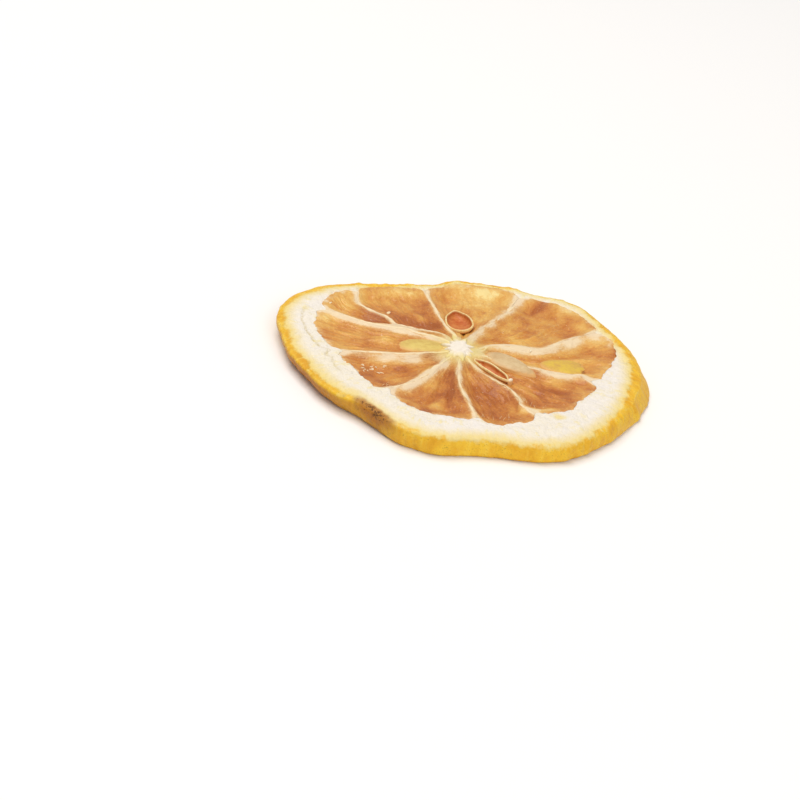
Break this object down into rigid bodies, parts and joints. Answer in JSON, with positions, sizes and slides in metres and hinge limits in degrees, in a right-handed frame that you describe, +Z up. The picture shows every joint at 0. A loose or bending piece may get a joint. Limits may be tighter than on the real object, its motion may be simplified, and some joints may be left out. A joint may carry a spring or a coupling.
{
  "type": "dried lemon slice",
  "caption": "Dried round slice of lemon with rind, pale pith, amber pulp in segments, thin skins, a core and seeds, lying flat as a garnish.",
  "frame": {"origin": "under the middle of the slice's box, on the surface it lies on", "axes": "+Z up, out of the shown cut face; +X along the widest direction of the slice, to the right as seen from the front"},
  "size_m": [0.053, 0.0518, 0.0043],
  "materials": {
    "pulp": "dried amber juice sacs, satin, slightly see-through, finely streaked from the core outwards",
    "rind": "dried yellow skin with fine pores and wrinkles, satin, darker amber in the folds",
    "pith": "dry white pith, matt and finely porous, cream at its outer edge",
    "membrane": "thin dry skin between segments, cream, satin, slightly see-through",
    "seed": "smooth seed coat from cream to straw yellow, satin"
  },
  "bodies": {
    "root": {"lemon_slice": "pulp"}
  },
  "joints": []
}
